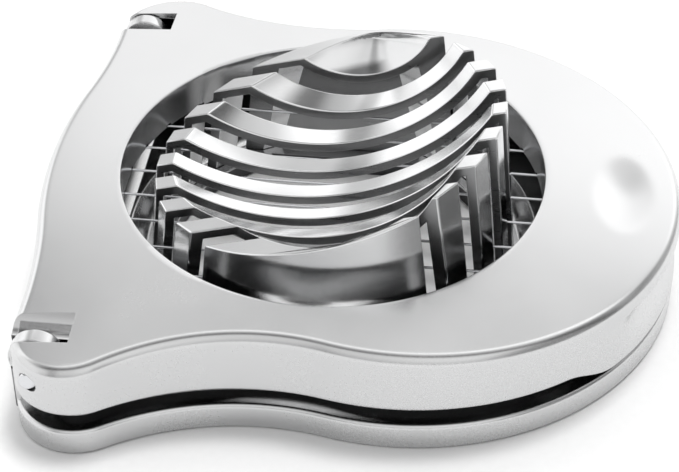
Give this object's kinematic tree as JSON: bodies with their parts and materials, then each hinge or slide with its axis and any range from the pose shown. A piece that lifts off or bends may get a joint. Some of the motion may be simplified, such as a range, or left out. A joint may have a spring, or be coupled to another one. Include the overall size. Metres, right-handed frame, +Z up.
{
  "type": "egg slicer",
  "caption": "Hand egg slicer: cast base with a ribbed, tilted egg cradle and a hinged round-windowed frame strung with parallel cutting wires.",
  "frame": {"origin": "centre of the footprint's bounding box, on the table under the base", "axes": "+X from the hinge to the thumb end, +Y along the hinge axis towards the rear horn, +Z up"},
  "size_m": [0.1142, 0.1118, 0.037],
  "materials": {
    "cast_aluminium": "satin polished die casting",
    "polished_aluminium": "bright polished, fine grain on the flats",
    "stainless_wire": "bright drawn wire",
    "stainless_pin": "turned and polished ends",
    "plated_steel": "dull zinc plate"
  },
  "bodies": {
    "base": {"base_casting": "cast_aluminium", "cradle_cap_front": "polished_aluminium", "cradle_rib_1": "polished_aluminium", "cradle_rib_2": "polished_aluminium", "cradle_rib_3": "polished_aluminium", "cradle_rib_4": "polished_aluminium", "cradle_rib_5": "polished_aluminium", "cradle_rib_6": "polished_aluminium", "cradle_rib_7": "polished_aluminium", "cradle_cap_rear": "polished_aluminium"},
    "frame": {"top_frame": "cast_aluminium", "wire_rail_hinge_side": "plated_steel", "wire_rail_thumb_side": "plated_steel", "cutting_wire_1": "stainless_wire", "cutting_wire_2": "stainless_wire", "cutting_wire_3": "stainless_wire", "cutting_wire_4": "stainless_wire", "cutting_wire_5": "stainless_wire", "cutting_wire_6": "stainless_wire", "cutting_wire_7": "stainless_wire", "cutting_wire_8": "stainless_wire", "wire_ferrule_hinge_side_1": "plated_steel", "wire_ferrule_hinge_side_2": "plated_steel", "wire_ferrule_hinge_side_3": "plated_steel", "wire_ferrule_hinge_side_4": "plated_steel", "wire_ferrule_hinge_side_5": "plated_steel", "wire_ferrule_hinge_side_6": "plated_steel", "wire_ferrule_hinge_side_7": "plated_steel", "wire_ferrule_hinge_side_8": "plated_steel", "wire_ferrule_thumb_side_1": "plated_steel", "wire_ferrule_thumb_side_2": "plated_steel", "wire_ferrule_thumb_side_3": "plated_steel", "wire_ferrule_thumb_side_4": "plated_steel", "wire_ferrule_thumb_side_5": "plated_steel", "wire_ferrule_thumb_side_6": "plated_steel", "wire_ferrule_thumb_side_7": "plated_steel", "wire_ferrule_thumb_side_8": "plated_steel", "rail_screw_1": "plated_steel", "rail_screw_2": "plated_steel", "rail_screw_3": "plated_steel", "rail_screw_4": "plated_steel", "hinge_pin_front": "stainless_pin", "hinge_pin_rear": "stainless_pin"}
  },
  "joints": [
    {"name": "frame_hinge", "type": "hinge", "parent": "base", "child": "frame", "pos_m": [-0.0489, 0, 0.01405], "axis": [0, -1, 0], "range_deg": [0, 95]}
  ]
}
